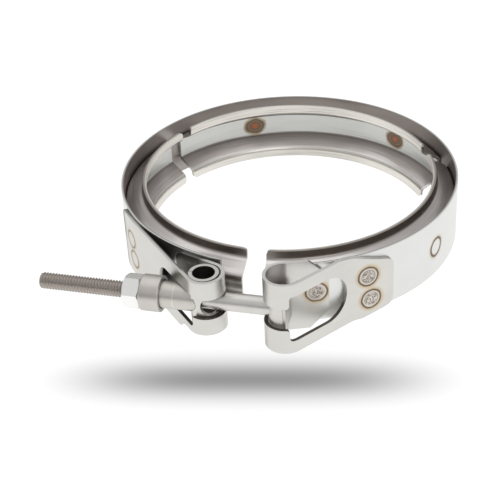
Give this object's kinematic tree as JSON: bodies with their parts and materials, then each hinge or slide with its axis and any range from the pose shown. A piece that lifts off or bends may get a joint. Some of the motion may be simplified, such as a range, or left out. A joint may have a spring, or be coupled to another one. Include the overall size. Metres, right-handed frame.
{
  "type": "v band clamp",
  "caption": "Steel V-band clamp: a spring band with V-section retainer segments, closed by a T-bolt hooked into a folded loop and drawn up by a nut on a swivelling trunnion",
  "frame": {"origin": "centre of the ring, on its axis, half-way between the two rims of the band", "axes": "+Z is the ring's axis, which is the axis of the pipe joint that it clamps; the gap in the band faces -Y; the bolt lies along X, its threaded tip towards -X"},
  "size_m": [0.1287, 0.1331, 0.026],
  "materials": {
    "band_steel": "cold-rolled stainless strip, satin, faint lines along the strip",
    "retainer_steel": "roll-formed stainless sheet, satin, slightly warm",
    "strap_steel": "pressed stainless strap, satin, with spot-weld rings",
    "bolt_steel": "stainless, rolled thread, slightly brown",
    "nut_plated": "bright white plating"
  },
  "bodies": {
    "clamp_ring": {"outer_band": "band_steel", "retainer_left": "retainer_steel", "retainer_rear": "retainer_steel", "retainer_right": "retainer_steel", "trunnion_loop": "strap_steel", "bolt_loop": "strap_steel"},
    "trunnion": {"trunnion_pin": "strap_steel", "trunnion_sleeve": "strap_steel", "collar": "bolt_steel"},
    "t_bolt": {"t_bolt": "bolt_steel"},
    "hex_nut": {"hex_nut": "nut_plated"}
  },
  "joints": [
    {"name": "trunnion_pivot", "type": "hinge", "parent": "clamp_ring", "child": "trunnion", "pos_m": [-0.01248, -0.0663, 0], "axis": [0, 0, 1], "range_deg": [-1, 1]},
    {"name": "bolt_slide", "type": "slide", "parent": "trunnion", "child": "t_bolt", "axis": [1, 0, 0], "range_m": [0, 0.024]},
    {"name": "nut_spin", "type": "hinge", "parent": "trunnion", "child": "hex_nut", "pos_m": [-0.0365, -0.0663, 0], "axis": [1, 0, 0], "range_deg": [-8641, 0]}
  ],
  "couplings": [
    {"joint": "nut_spin", "follows": "bolt_slide", "rad_per_m": -6283.2}
  ]
}
